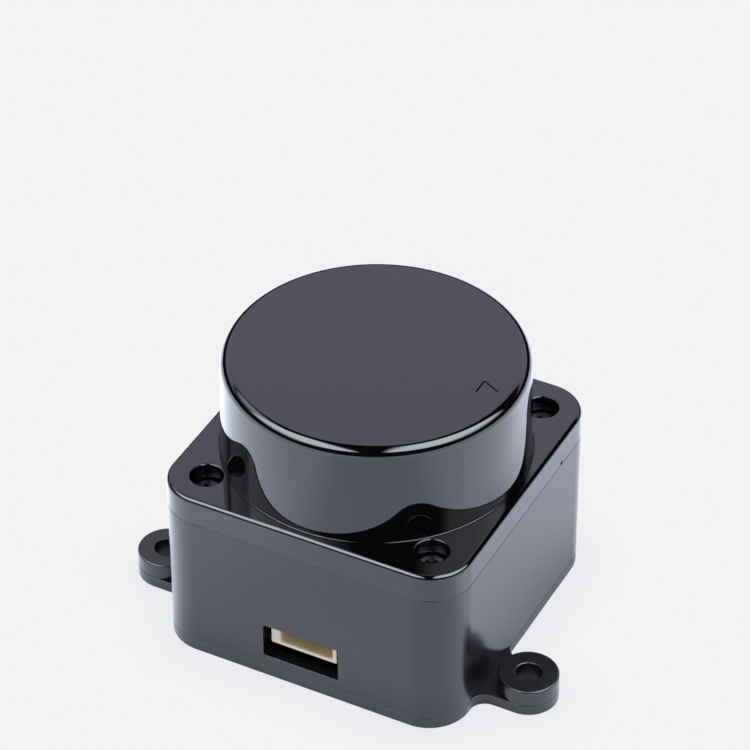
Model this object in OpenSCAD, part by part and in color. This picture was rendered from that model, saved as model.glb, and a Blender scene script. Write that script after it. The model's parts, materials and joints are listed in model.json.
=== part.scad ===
// Palm-size 360 degree lidar scanner module: a square housing on a three-eared base plate, with a
// fixed infrared-pass dome over a direct-drive rotor that carries the ranging optics.
// +Z is up and the scan axis. The origin is on that axis, on the face the module stands on.
// +X is the scanner's zero direction (the arrow on the dome), -Y is the connector's side.

/* [Body] */
// Side of the square body
body_w = 38.6; // [36:0.2:48]
// Height of the body, from the floor to the cover's top face
body_h = 23; // [19:0.2:30]
// Plan radius of the body's four corners
corner_r = 5.2; // [4.6:0.1:6.5]
// Thickness of the housing's side walls
wall = 1.6; // [1.3:0.1:1.9]

/* [Cover] */
// Height of the cover's side band
cover_h = 3.5; // [3:0.1:4.5]
// Thickness of the cover's top
cover_t = 2; // [1.6:0.1:2.2]
// Least width of the cover's rim between its opening and its side
rim_w = 0.95; // [0.8:0.05:1.6]
// Radius of the rounding along the cover's upper edge
cover_edge = 0.5; // [0.2:0.05:0.7]
// Distance of each cover screw from the two sides at its corner
screw_inset = 4.8; // [4.4:0.1:5.4]
// Diameter of each screw's counterbore
counterbore_d = 3.9; // [3.8:0.05:4.2]
// Depth from the cover's top to the top of each screw head
head_depth = 2; // [1.4:0.1:2.4]

/* [Dome] */
// How far the dome stands above the cover
dome_h = 13; // [11:0.2:18]
// Thickness of the dome
dome_t = 1.2; // [1:0.1:1.6]
// How much wider the dome's radius is at its foot than at its top
dome_draft = 0.35; // [0.1:0.05:0.8]
// Radius of the rounding round the dome's top
dome_edge = 1.15; // [0.4:0.05:1.4]
// Length of the zero-direction arrow
arrow_l = 2.25; // [1.5:0.05:3]
// Depth of the arrow
arrow_depth = 0.2; // [0.1:0.05:0.4]

/* [Base plate] */
// Thickness of the base plate
plate_t = 1.4; // [1.2:0.1:2]
// Radius of each mounting ear
ear_r = 3.6; // [3:0.1:5]
// Distance from the body's side to each ear's hole
ear_reach = 4.8; // [4:0.1:8]
// How far the two side ears sit forward of the scan axis
ear_forward = 8.3; // [0:0.1:11]
// Height of each ear's top above the floor
ear_h = 3.5; // [2.4:0.1:6]
// Diameter of each ear's hole
ear_hole_d = 3; // [2:0.1:3.4]

/* [Connector] */
// Width of the slot in the housing
slot_w = 9.8; // [9.2:0.1:12]
// Height of the slot
slot_h = 4.6; // [4:0.1:5.4]
// Height of the slot's lower edge above the floor
slot_z = 3; // [2.4:0.1:3.2]
// Width of the connector's body
plug_w = 8.6; // [7.6:0.1:9]
// Depth of the connector's face behind the housing's
plug_recess = 0.9; // [0.4:0.1:2]
// Number of contacts
contacts = 4; // [2:1:5]
// Distance between contacts
pitch = 1.5; // [1:0.05:1.5]

/* [Motor] */
// Diameter of the hollow shaft
shaft_d = 4; // [3.4:0.1:4.6]
// Diameter of the shaft's bore, which the optical link passes through
link_bore_d = 2; // [1.6:0.1:2.6]
// Radial thickness of each bearing
bearing_t = 1.5; // [1.4:0.05:1.7]
// Width of each bearing
bearing_w = 2.5; // [2:0.1:2.8]
// Number of balls in each bearing
balls = 7; // [5:1:8]
// Number of stator teeth
teeth = 9; // [6:3:12]
// Number of magnet poles
poles = 12; // [8:2:14]
// Radial gap between the stator and the magnets
air_gap = 0.25; // [0.2:0.05:0.4]

/* [Power and data link] */
// Radial width of the two power coils
coil_w = 2; // [1.4:0.1:2.2]
// Axial gap between the two power coils
coil_gap = 0.5; // [0.4:0.1:0.8]
// Number of windows in the encoder ring
encoder_windows = 30; // [12:1:40]

/* [Optics] */
// Height of the optics block
optics_h = 12.2; // [11.6:0.1:13]
// Depth of the optics block along the beam
optics_l = 15; // [12:0.5:16]
// Width of the optics block
optics_w = 24; // [23:0.5:24]
// Diameter of the receiving lens
receiver_d = 10; // [8:0.5:10.5]
// Diameter of the emitting lens
emitter_d = 6; // [4:0.5:7]

/* [Hidden] */
$fn = 64;
hull_fn = 32;
fit = 0.1;           // clearance between static pieces that locate each other
touch = 0.01;        // how far a cutter runs past the face that it opens
spin_gap = 0.5;      // least gap between the rotor and what stands still
hair = 0.03;         // running clearance in the bearings

half = body_w / 2;
inner = half - wall;                     // half the housing's inside width
seam_z = body_h - cover_h;               // where the cover meets the housing
screw_xy = half - screw_inset;           // cover and base screws, from the axis
corners = [[1, 1], [-1, 1], [-1, -1], [1, -1]];
dome_top = body_h + dome_h;

// Cover, dome and their screws
opening_r = half - rim_w;
cover_wall = rim_w - 0.1;                // the opening doesn't reach the cover's side band
dome_foot_r = opening_r - fit;
dome_top_r = dome_foot_r - dome_draft;
dome_in_r = dome_top_r - dome_t;
flange_half = half - cover_wall - fit;   // the dome's square flange sits inside the cover's band
flange_top = body_h - cover_t;
gasket_t = 0.4;
flange_z = seam_z + gasket_t;
gasket_in = inner - 0.6;
head_r = 1.75;                           // M2 pan head
head_t = 1.3;
thread_r = 1;
seat_z = body_h - head_depth - head_t;   // the counterbore's floor
boss_r = 2.9;
boss_floor = 1.4;
post_top = seat_z - boss_floor;
post_r = 2.8;
cover_screw_l = 8;
base_head_r = 1.9;                       // M2 countersunk head
base_head_t = 1;
base_screw_l = 6;
notch_y = 9.8;                           // pry notch in the cover's seam
notch_w = 0.4;
arrow_tip = dome_top_r - 2.4;
// each ear's centre, and the direction that it points in
ears = [[half + ear_reach, -ear_forward, 0], [-half - ear_reach, -ear_forward, 180],
        [0, half + ear_reach, 90]];

// Main board and connector
board_z = 3.6;
board_t = 1;
board_top = board_z + board_t;
// centre, size across X and Y, and height of each chip; then the capacitors' centres
chips = [[-11.6, 0, 5, 5, 0.9], [11.4, -2.2, 4, 4, 0.8], [11.4, 2.6, 3, 3, 0.8],
         [0, 13.6, 6, 3.4, 1.1], [-8, -10.8, 3, 2.6, 1]];
capacitors = [[-14.6, 4.4], [-14.6, -4.4], [14.6, 4.4], [5.2, 12.6], [-5.2, 12.6],
              [4.2, -11.2], [6, -11.2], [8, -11.2], [14.6, -4.4]];
board_gap = 0.35;
board_half = inner - board_gap;
standoff_r = 1.9;
board_screw_r = 0.8;
board_screw = [screw_xy - post_r - standoff_r - 0.8, inner - standoff_r - 0.6];
plug_h = slot_z + slot_h - fit - board_top;  // the connector fills the slot up to its top edge
plug_l = 5.4;
plug_front = -half + plug_recess;
plug_wall = 0.65;
plug_floor = 0.5;
plug_back = 1;
pin_w = 0.4;

// Rotor heights, from the dome's ceiling down
optics_top = dome_top - dome_t - 2 * spin_gap;
optics_z = optics_top - optics_h;
rotor_board_t = 1;
rotor_board_z = optics_z - rotor_board_t;
link_room = 2.4;
turntable_top = rotor_board_z - link_room;
turntable_t = 1.4;
turntable_z = turntable_top - turntable_t;
bell_t = 0.8;
bell_top = turntable_z;
mount_top = bell_top - bell_t - 0.6;

// Power coils and encoder, downwards from the turntable
ferrite_t = 0.8;
coil_t = 0.6;
upper_ferrite_z = turntable_z - ferrite_t;
upper_coil_z = upper_ferrite_z - coil_t;
lower_coil_z = upper_coil_z - coil_gap - coil_t;
lower_ferrite_z = lower_coil_z - ferrite_t;
carrier_t = 1;
carrier_z = lower_ferrite_z - carrier_t;
carrier_leg_r = 0.8;
carrier_feet = [30, 150, 210, 330];

// Radii, from the housing's wall inwards
sensor_arm = 0.9;
sensor_gap = 0.3;
sensor_w = 3;
sensor_at = 22.5;                        // its direction, clear of the corner posts
sensor_out = inner - spin_gap;
ring_out = sensor_out - sensor_arm - sensor_gap;
ring_t = 0.6;
sensor_in = ring_out - ring_t - sensor_gap - sensor_arm;
coil_out = sensor_in - sensor_gap;
coil_in = coil_out - coil_w;
bell_r = coil_in - spin_gap - 0.1;
bell_wall = 0.7;
magnet_t = 1.2;
stator_r = bell_r - bell_wall - magnet_t - air_gap;

// Shaft, bearings and motor mount
shaft_r = shaft_d / 2;
bearing_r = shaft_r + bearing_t;
pitch_r = shaft_r + bearing_t / 2;
ball_r = bearing_t / 3;
race_gap = bearing_t / 5;                // half the opening between the two races
cage_t = 0.3;
cage_h = 1.5;
mount_wall = 0.9;
mount_r = bearing_r + mount_wall;
mount_flange_r = 7.5;
mount_flange_t = 0.8;
lower_bearing_z = board_top + mount_flange_t;
upper_bearing_z = mount_top - bearing_w;
yoke_t = 1;
tooth_w = 1.3;
tip_t = 0.6;
slot_mouth = 1.4;
stator_z = board_top + 2.6;
stator_h = mount_top - stator_z - 2;
coil_space = 0.15;
winding_t = 0.7;
clip_t = 0.5;
clip_groove = 0.3;

// Optics
beam_z = optics_z + optics_h / 2;
optics_front = 9.5;
optics_back = optics_front - optics_l;
receiver_y = 5.2;
emitter_y = -7;
lens_rim = 1.4;
lens_seat = 1;
ranging_t = 1;
ranging_x = optics_back - ranging_t;
optics_screws_at = [[optics_front - 2, -0.9], [optics_back + 2, -0.9]];
weight_h = 5;
weight_in = 10.5;
rotor_r = dome_in_r - 2 * spin_gap;
turntable_screw_r = 8;
turntable_screws = 3;
rotor_post_at = 13;
// Centre, size across X and Y of each chip under the rotor board
rotor_chip_sizes = [[-5.4, 5.4, 4, 4], [5.4, 5.4, 3, 3], [-5.4, -5.4, 4, 3]];
rotor_chip_t = 1;

// ---- Shapes used more than once ----

// Square outline with round corners, half as wide as its name says
module soft_square(h, r) {
    square([2 * h, 2 * (h - r)], center = true);
    square([2 * (h - r), 2 * h], center = true);
    for (c = corners) translate([c.x * (h - r), c.y * (h - r)]) circle(r);
}

module soft_prism(h, r, z0, z1) {
    translate([0, 0, z0]) linear_extrude(z1 - z0) soft_square(h, r);
}

module ring(r_in, r_out, z0, z1) {
    translate([0, 0, z0]) difference() {
        cylinder(r = r_out, h = z1 - z0);
        translate([0, 0, -1]) cylinder(r = r_in, h = z1 - z0 + 2);
    }
}

module rod(r, z0, z1) {
    translate([0, 0, z0]) cylinder(r = r, h = z1 - z0);
}

module at_corners(xy) {
    for (c = corners) translate([c.x * xy, c.y * xy, 0]) children();
}

module block(x0, x1, y0, y1, z0, z1) {
    translate([x0, y0, z0]) cube([x1 - x0, y1 - y0, z1 - z0]);
}

// A block whose upper edge is rounded, used for the cover's outside
module soft_block(h, r, z0, z1, edge) {
    hull() at_corners(h - r) rotate_extrude($fn = hull_fn) difference() {
        translate([0, z0]) square([r, z1 - z0]);
        translate([r - edge, z1 - edge]) difference() {
            square(edge + 1);
            circle(edge);
        }
    }
}

module recess_cross(r, depth) {
    for (a = [0, 90]) rotate(a) translate([0, 0, -depth / 2 + touch])
        cube([2 * r, r / 2, depth], center = true);
}

// Pan-head screw standing with its head's underside at z = 0
module pan_screw(r, l, hr, ht) {
    difference() {
        union() {
            cylinder(r = hr, h = ht);
            translate([0, 0, -l]) cylinder(r = r, h = l + touch);
        }
        translate([0, 0, ht]) recess_cross(hr * 0.55, ht * 0.5);
    }
}

// ---- Base plate, housing, cover and dome ----

module ear_tab() {
    fillet = min(2, ear_reach - touch);
    neck = ear_reach + wall;
    circle(ear_r);
    translate([-neck, -ear_r]) square([neck, 2 * ear_r]);
    for (side = [-1, 1]) scale_y(side) translate([-ear_reach, ear_r]) difference() {
        translate([-touch, -touch]) square(fillet + touch);
        translate([fillet, fillet]) circle(fillet);
    }
}

module scale_y(side) {
    if (side > 0) children();
    else mirror([0, 1]) children();
}

module base_plate() {
    color("#26272b") difference() {
        union() {
            linear_extrude(plate_t) {
                soft_square(half, corner_r);
                for (e = ears) translate([e.x, e.y]) rotate(e.z) ear_tab();
            }
            for (e = ears) translate([e.x, e.y]) cylinder(r = ear_r, h = ear_h);
            for (p = standoffs()) translate([p.x, p.y]) cylinder(r = standoff_r, h = board_z);
        }
        for (e = ears) translate([e.x, e.y, -1]) cylinder(d = ear_hole_d, h = ear_h + 2);
        at_corners(screw_xy) {
            translate([0, 0, -1]) cylinder(r = thread_r + fit, h = plate_t + 2);
            translate([0, 0, -touch]) cylinder(r = base_head_r + fit, h = base_head_t + touch);
        }
        for (p = standoffs()) translate([p.x, p.y, plate_t])
            cylinder(r = board_screw_r, h = board_z);
    }
}

function standoffs() = [for (c = corners) [c.x * board_screw.x, c.y * board_screw.y]];

// Post for the screws at each corner, run out into the corner of the walls
module corner_posts(z0, z1) {
    at_corners(screw_xy) rod(post_r, z0, z1);
    for (a = [0:90:270]) rotate(a) block(screw_xy, half, screw_xy, half, z0, z1);
}

module housing() {
    color("#2b2d32") difference() {
        union() {
            difference() {
                soft_prism(half, corner_r, plate_t, seam_z);
                soft_prism(inner, corner_r - wall, plate_t - 1, seam_z + 1);
            }
            intersection() {
                corner_posts(plate_t, post_top);
                soft_prism(half - wall / 2, corner_r - wall / 2, plate_t, post_top);
            }
        }
        at_corners(screw_xy) translate([0, 0, plate_t - 1])
            cylinder(r = thread_r, h = post_top - plate_t + 2);
        // the cover's screw bosses reach down past the seam
        at_corners(screw_xy) rod(boss_r + fit, post_top, seam_z + 1);
        block(-slot_w / 2, slot_w / 2, -half - 1, -inner + 1, slot_z, slot_z + slot_h);
    }
}

module top_cover() {
    color("#1c1d20") difference() {
        union() {
            difference() {
                soft_block(half, corner_r, seam_z, body_h, cover_edge);
                soft_prism(half - cover_wall, corner_r - cover_wall, seam_z - 1, flange_top);
            }
            intersection() {
                at_corners(screw_xy) rod(boss_r, post_top, flange_top + touch);
                soft_prism(inner - fit, corner_r - wall - fit, post_top, body_h);
            }
        }
        rod(opening_r, post_top - 1, body_h + 1);
        at_corners(screw_xy) {
            rod(thread_r + fit, post_top - 1, body_h);
            rod(counterbore_d / 2, seat_z, body_h + 1);
        }
        block(half - 2 * notch_w / 3, half + 1, notch_y - notch_w / 2, notch_y + notch_w / 2,
              seam_z - 1, seam_z + notch_w);
    }
}

// Outline of the dome's wall: a drafted cylinder that is round at its top edge
module dome_profile(foot, top, z0, z1, edge) {
    difference() {
        polygon([[0, z0], [foot, z0], [top, z1], [0, z1]]);
        translate([top - edge, z1 - edge]) difference() {
            square(edge + 1);
            circle(edge);
        }
    }
}

module dome() {
    color("#17181b") difference() {
        union() {
            rotate_extrude() dome_profile(dome_foot_r, dome_top_r, flange_top - fit, dome_top,
                                          dome_edge);
            difference() {
                soft_prism(flange_half, corner_r - cover_wall, flange_z, flange_top);
                at_corners(screw_xy) rod(boss_r + fit, flange_z - 1, flange_top + 1);
            }
        }
        rod(dome_in_r, flange_z - 1, dome_top - dome_t);
        translate([arrow_tip, 0, dome_top - arrow_depth]) linear_extrude(arrow_depth + 1)
            polygon([[0, 0], [-arrow_l, arrow_l / 2], [-arrow_l, -arrow_l / 2]]);
    }
}

module dome_gasket() {
    color("#3a3a3a") difference() {
        soft_prism(flange_half, corner_r - cover_wall, seam_z, flange_z);
        soft_prism(gasket_in, corner_r - wall, seam_z - 1, flange_z + 1);
        at_corners(screw_xy) rod(post_r + 2 * fit, seam_z - 1, flange_z + 1);
    }
}

module cover_screws() {
    color("#141416") at_corners(screw_xy) translate([0, 0, seat_z])
        pan_screw(thread_r, cover_screw_l, head_r, head_t);
}

module base_screws() {
    color("#141416") at_corners(screw_xy) difference() {
        union() {
            cylinder(r = base_head_r, h = base_head_t);
            rod(thread_r, 0, base_screw_l);
        }
        mirror([0, 0, 1]) recess_cross(base_head_r * 0.55, base_head_t * 0.5);
    }
}

// ---- Main board and connector ----

module main_board() {
    color("#16191b") difference() {
        soft_prism(board_half, corner_r - wall, board_z, board_top);
        at_corners(screw_xy) rod(post_r + 0.3, board_z - 1, board_top + 1);
        for (p = standoffs()) translate([p.x, p.y])
            rod(board_screw_r + fit, board_z - 1, board_top + 1);
    }
}

module board_chips() {
    color("#1a1a1c") for (c = chips) translate([c[0], c[1], board_top + c[4] / 2])
        cube([c[2], c[3], c[4]], center = true);
}

module board_capacitors() {
    color("#a9865a") for (c = capacitors) translate([c.x, c.y, board_top + 0.4])
        cube([0.8, 1.6, 0.8], center = true);
}

module board_screws() {
    color("silver") for (p = standoffs()) translate([p.x, p.y, board_top])
        pan_screw(board_screw_r, board_top - plate_t - 0.3, 1.4, 0.8);
}

module connector_body() {
    side = plug_w / 2 - plug_wall;
    back = plug_front + plug_l;
    color("#e6e0cc") difference() {
        block(-plug_w / 2, plug_w / 2, plug_front, back, board_top, board_top + plug_h);
        block(-side, side, plug_front - 1, back - plug_back, board_top + plug_floor,
              board_top + plug_h - plug_floor);
        // notch for the plug's latch
        block(-pitch, pitch, plug_front - 1, plug_front + plug_l / 3, board_top + plug_h / 2,
              board_top + plug_h + 1);
        contact_rods(plug_front, back + 1, pin_w + 2 * hair);
    }
}

// One square rod for each contact, from y0 to y1 at the middle of the connector
module contact_rods(y0, y1, w) {
    for (i = [0:contacts - 1]) translate([(i - (contacts - 1) / 2) * pitch, 0, 0])
        block(-w / 2, w / 2, y0, y1, board_top + plug_h / 2 - w / 2,
              board_top + plug_h / 2 + w / 2);
}

module connector_pins() {
    back = plug_front + plug_l + 0.6;
    color("#c9b36b") {
        contact_rods(plug_front + 1.2, back, pin_w);
        for (i = [0:contacts - 1]) translate([(i - (contacts - 1) / 2) * pitch, 0, 0])
            block(-pin_w / 2, pin_w / 2, back - pin_w, back, board_top,
                  board_top + plug_h / 2);
    }
}

// ---- Motor ----

module motor_mount() {
    color("silver") difference() {
        union() {
            rod(mount_r, board_top, mount_top);
            rod(mount_flange_r, board_top, board_top + mount_flange_t);
        }
        rod(bearing_r, board_top - 1, lower_bearing_z + bearing_w);
        rod(bearing_r, upper_bearing_z, mount_top + 1);
        rod(bearing_r - 0.5, board_top - 1, mount_top);
    }
}

module stator_core() {
    tip_w = 2 * PI * stator_r / teeth - slot_mouth;
    color("#8a8d90") translate([0, 0, stator_z]) linear_extrude(stator_h) difference() {
        intersection() {
            union() {
                circle(mount_r + yoke_t);
                for (i = [0:teeth - 1]) rotate(360 * i / teeth) {
                    translate([mount_r, -tooth_w / 2]) square([stator_r - mount_r + 1, tooth_w]);
                    translate([stator_r - tip_t, -tip_w / 2]) square([tip_t + 1, tip_w]);
                }
            }
            circle(stator_r);
        }
        circle(mount_r);
    }
}

module stator_windings() {
    x0 = mount_r + yoke_t + coil_space;
    x1 = stator_r - tip_t - coil_space;
    inside = tooth_w / 2 + hair;
    color("#b5652b") for (i = [0:teeth - 1]) rotate(360 * i / teeth) difference() {
        block(x0, x1, -inside - winding_t, inside + winding_t, stator_z - winding_t,
              stator_z + stator_h + winding_t);
        block(x0 - 1, x1 + 1, -inside, inside, stator_z - hair, stator_z + stator_h + hair);
        // neighbouring windings are trimmed so that they stay apart near the yoke
        for (s = [-1, 1]) rotate(s * 180 / teeth) translate([0, s * 5 - s * hair, 0])
            cube([4 * stator_r, 10, 4 * stator_r], center = true);
    }
}

module bearing_race(r_in, r_out, z) {
    color("#b9bcc0") translate([0, 0, z]) rotate_extrude() difference() {
        translate([r_in, 0]) square([r_out - r_in, bearing_w]);
        translate([pitch_r, bearing_w / 2]) circle(ball_r + hair);
    }
}

module ball_set(z, r) {
    for (i = [0:balls - 1]) rotate(360 * i / balls)
        translate([pitch_r, 0, z + bearing_w / 2]) sphere(r);
}

module ball_cage(z) {
    color("#8a6f3a") difference() {
        ring(pitch_r - cage_t / 2, pitch_r + cage_t / 2, z + bearing_w / 2 - cage_h / 2,
             z + bearing_w / 2 + cage_h / 2);
        ball_set(z, ball_r + hair);
    }
}

module bearing_spacer() {
    color("#c0c2c6") ring(shaft_r, pitch_r - race_gap, lower_bearing_z + bearing_w,
                          upper_bearing_z);
}

module rotor_shaft() {
    color("#a7aaae") difference() {
        rod(shaft_r, lower_bearing_z - clip_t - 0.2, bell_top);
        rod(link_bore_d / 2, board_top, bell_top + 1);
        ring(shaft_r - clip_groove, shaft_r + 1, lower_bearing_z - clip_t, lower_bearing_z);
    }
}

module shaft_clip() {
    color("#3a3d42") difference() {
        ring(shaft_r - clip_groove, shaft_r + 0.5, lower_bearing_z - clip_t, lower_bearing_z);
        block(0, bearing_r, -0.5, 0.5, board_top - 1, lower_bearing_z + 1);
    }
}

module rotor_bell() {
    color("#9a9da1") difference() {
        rod(bell_r, stator_z - 0.4, bell_top);
        rod(bell_r - bell_wall, stator_z - 1, bell_top - bell_t);
        rod(shaft_r, board_top, bell_top + 1);
        for (i = [0:turntable_screws - 1]) rotate(360 * i / turntable_screws)
            translate([turntable_screw_r, 0]) rod(board_screw_r, board_top, bell_top + 1);
    }
}

module rotor_magnets() {
    color("#55585c") for (i = [0:poles - 1]) rotate(360 * (i + 0.5) / poles)
        rotate_extrude(angle = 360 / poles - 2)
            translate([bell_r - bell_wall - magnet_t, stator_z]) square([magnet_t, stator_h]);
}

// ---- Power and data link ----

module coil_carrier() {
    color("#2a2a2a") {
        difference() {
            union() {
                rod(coil_out, carrier_z, carrier_z + carrier_t);
                rotate(sensor_at) block(coil_in, sensor_out, -sensor_w / 2, sensor_w / 2,
                                        carrier_z, carrier_z + carrier_t);
            }
            rod(coil_in, carrier_z - 1, carrier_z + carrier_t + 1);
        }
        for (a = carrier_feet) rotate(a) translate([(coil_in + coil_out) / 2, 0, board_top])
            cylinder(r = carrier_leg_r, h = carrier_z + touch - board_top);
    }
}

module power_coil(z, groove_z) {
    color("#b5652b") difference() {
        ring(coil_in + 0.2, coil_out - 0.2, z, z + coil_t);
        for (r = [coil_in + 0.6:0.4:coil_out - 0.5])
            ring(r - 0.04, r + 0.04, groove_z, groove_z + 0.1);
    }
}

module encoder_sensor() {
    z0 = carrier_z + carrier_t;
    color("#1d1e22") rotate(sensor_at) difference() {
        block(sensor_in, sensor_out, -sensor_w / 2, sensor_w / 2, z0, z0 + 2.3);
        block(sensor_in + sensor_arm, sensor_out - sensor_arm, -sensor_w, sensor_w,
              z0 + 0.5, z0 + 3);
    }
}

module encoder_ring() {
    z0 = carrier_z + carrier_t + 0.8;
    window_w = PI * ring_out / encoder_windows;
    color("#232327") difference() {
        ring(ring_out - ring_t, ring_out, z0, turntable_z);
        for (i = [0:encoder_windows - 1]) if (i > 0) rotate(360 * i / encoder_windows)
            block(ring_out - ring_t - 1, ring_out + 1, -window_w / 2, window_w / 2, z0 - 1,
                  turntable_z - 0.8);
    }
}

module link_photodiode() {
    color("#202428") rod(link_bore_d / 2 - 0.25, board_top, board_top + 0.45);
}

module link_led() {
    color("#d8dde0") rod(link_bore_d / 2, rotor_board_z - 1.6, rotor_board_z);
}

// ---- Rotor ----

module turntable() {
    color("#3a3c40") difference() {
        union() {
            rod(ring_out, turntable_z, turntable_top);
            for (a = [45:90:315]) rotate(a) translate([rotor_post_at, 0])
                rod(1.6, turntable_z, rotor_board_z);
        }
        rod(shaft_r, turntable_z - 1, turntable_top + 1);
        for (i = [0:turntable_screws - 1]) rotate(360 * i / turntable_screws)
            translate([turntable_screw_r, 0])
                rod(board_screw_r + fit, turntable_z - 1, turntable_top + 1);
    }
}

module turntable_screws() {
    color("silver") for (i = [0:turntable_screws - 1]) rotate(360 * i / turntable_screws)
        translate([turntable_screw_r, 0, turntable_top])
            pan_screw(board_screw_r, turntable_t + bell_t, 1.4, 0.8);
}

module rotor_board() {
    color("#16191b") difference() {
        rod(rotor_r, rotor_board_z, rotor_board_z + rotor_board_t);
        for (p = optics_screws_at) translate([p.x, p.y])
            rod(board_screw_r + fit, rotor_board_z - 1, rotor_board_z + 2);
    }
}

module rotor_chips() {
    color("#1a1a1c") for (c = rotor_chip_sizes)
        translate([c[0], c[1], rotor_board_z - rotor_chip_t / 2])
            cube([c[2], c[3], rotor_chip_t], center = true);
}

// Carries its children to a lens axis, with +Z along the beam
module on_beam(x, y) {
    translate([x, y, beam_z]) rotate([0, 90, 0]) children();
}

module optics_block() {
    color("#202125") difference() {
        block(optics_back, optics_front, -optics_w / 2, optics_w / 2, optics_z, optics_top);
        lens_bore(receiver_y, receiver_d / 2);
        lens_bore(emitter_y, emitter_d / 2);
        for (p = optics_screws_at) translate([p.x, p.y])
            rod(board_screw_r, optics_z - 1, optics_z + 4);
    }
}

// Lens seat at the front, then a narrower bore back to the ranging board
module lens_bore(y, r) {
    on_beam(optics_front - lens_rim - lens_seat, y)
        cylinder(r = r, h = lens_rim + lens_seat + 1);
    on_beam(optics_back - 1, y) cylinder(r = r - 0.5, h = optics_l);
}

module lens(y, r) {
    bulge = r / 4;
    sphere_r = (r * r + bulge * bulge) / (2 * bulge);
    color("#8fa3b5") on_beam(optics_front - lens_rim - lens_seat, y) intersection() {
        cylinder(r = r - hair, h = lens_seat + bulge);
        translate([0, 0, lens_seat + bulge - sphere_r]) sphere(sphere_r, $fn = 96);
    }
}

module receiver_filter() {
    color("#6b2a2a") on_beam(optics_back + 3, receiver_y) cylinder(r = receiver_d / 2 - 0.55, h = 0.8);
}

module ranging_board() {
    color("#16191b") block(ranging_x, optics_back, -optics_w / 2 + 0.5, optics_w / 2 - 0.5,
                           optics_z, optics_top);
}

module laser_diode() {
    color("#b9bcc0") {
        on_beam(optics_back, emitter_y) cylinder(r = 1.9, h = 1);
        on_beam(optics_back + 1 - touch, emitter_y) cylinder(r = 1.5, h = 1.6);
    }
}

module receiver_chip() {
    color("#141416") block(optics_back, optics_back + 1.1, receiver_y - 2, receiver_y + 2,
                           beam_z - 2, beam_z + 2);
}

module shield_can() {
    color("#b5b8bb") block(ranging_x - 1.6, ranging_x, receiver_y - 4, receiver_y + 4,
                           beam_z - 4, beam_z + 4);
}

module board_link() {
    color("#c9b36b") for (i = [0:5]) translate([ranging_x - 1.1, -9 + 1.27 * i, optics_z])
        rod(0.25, 0, 4);
}

module optics_screws() {
    color("silver") for (p = optics_screws_at) translate([p.x, p.y, rotor_board_z])
        mirror([0, 0, 1]) pan_screw(board_screw_r, rotor_board_t + 3.4, 1.4, 0.8);
}

module balance_weight() {
    color("#b08d3c") difference() {
        ring(weight_in, rotor_r - 0.3, optics_z, optics_z + weight_h);
        block(-8.4, rotor_r, -rotor_r, rotor_r, optics_z - 1, optics_z + weight_h + 1);
    }
}

base_plate();
housing();
top_cover();
dome();
dome_gasket();
cover_screws();
base_screws();
main_board();
board_chips();
board_capacitors();
board_screws();
connector_body();
connector_pins();
motor_mount();
stator_core();
stator_windings();
bearing_race(pitch_r + race_gap, bearing_r, lower_bearing_z);  // lower_bearing_outer
bearing_race(pitch_r + race_gap, bearing_r, upper_bearing_z);  // upper_bearing_outer
coil_carrier();
color("#303236") ring(coil_in, coil_out, lower_ferrite_z, lower_coil_z);  // primary_ferrite
power_coil(lower_coil_z, lower_coil_z + coil_t - 0.1);  // primary_coil
encoder_sensor();
link_photodiode();
color("#d5d8dc") ball_set(lower_bearing_z, ball_r);  // lower_balls
ball_cage(lower_bearing_z);  // lower_cage
color("#d5d8dc") ball_set(upper_bearing_z, ball_r);  // upper_balls
ball_cage(upper_bearing_z);  // upper_cage
rotor_shaft();
shaft_clip();
bearing_race(shaft_r, pitch_r - race_gap, lower_bearing_z);  // lower_bearing_inner
bearing_race(shaft_r, pitch_r - race_gap, upper_bearing_z);  // upper_bearing_inner
bearing_spacer();
rotor_bell();
rotor_magnets();
turntable();
turntable_screws();
color("#303236") ring(coil_in, coil_out, upper_ferrite_z, turntable_z);  // secondary_ferrite
power_coil(upper_coil_z, upper_coil_z);  // secondary_coil
encoder_ring();
rotor_board();
rotor_chips();
link_led();
optics_block();
lens(emitter_y, emitter_d / 2);  // emitter_lens
lens(receiver_y, receiver_d / 2);  // receiver_lens
receiver_filter();
ranging_board();
laser_diode();
receiver_chip();
shield_can();
board_link();
optics_screws();
balance_weight();
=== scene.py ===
import json
import math

import bpy
import numpy as np
from mathutils import Matrix, Vector


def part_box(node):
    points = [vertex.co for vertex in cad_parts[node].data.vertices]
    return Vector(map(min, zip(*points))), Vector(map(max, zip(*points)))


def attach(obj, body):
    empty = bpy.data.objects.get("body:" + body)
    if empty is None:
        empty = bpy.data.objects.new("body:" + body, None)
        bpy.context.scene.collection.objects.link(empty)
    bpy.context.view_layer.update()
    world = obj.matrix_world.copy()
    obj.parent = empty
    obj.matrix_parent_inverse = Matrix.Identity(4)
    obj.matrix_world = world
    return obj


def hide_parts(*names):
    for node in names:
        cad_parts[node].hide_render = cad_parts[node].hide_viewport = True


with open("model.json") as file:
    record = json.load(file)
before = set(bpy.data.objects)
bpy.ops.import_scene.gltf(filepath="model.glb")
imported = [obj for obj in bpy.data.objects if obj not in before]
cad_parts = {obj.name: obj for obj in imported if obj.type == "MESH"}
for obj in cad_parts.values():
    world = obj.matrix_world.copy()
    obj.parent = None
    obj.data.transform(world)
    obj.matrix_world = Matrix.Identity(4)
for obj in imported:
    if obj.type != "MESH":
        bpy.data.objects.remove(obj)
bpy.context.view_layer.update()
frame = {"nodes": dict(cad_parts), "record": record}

mm = 0.001  # shapes are worked out in millimetres and made metres at the end
hold = 0.03  # width of the flat strip beside a rounding, which keeps wide faces truly flat
lap = 0.02  # how far pieces that are joined reach into each other
past = 1  # how far a cutter runs on past the surface it opens
corners = ((1, 1), (-1, 1), (-1, -1), (1, -1))  # counter-clockwise
print("frame loaded:", len(frame["nodes"]), "nodes")


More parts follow.
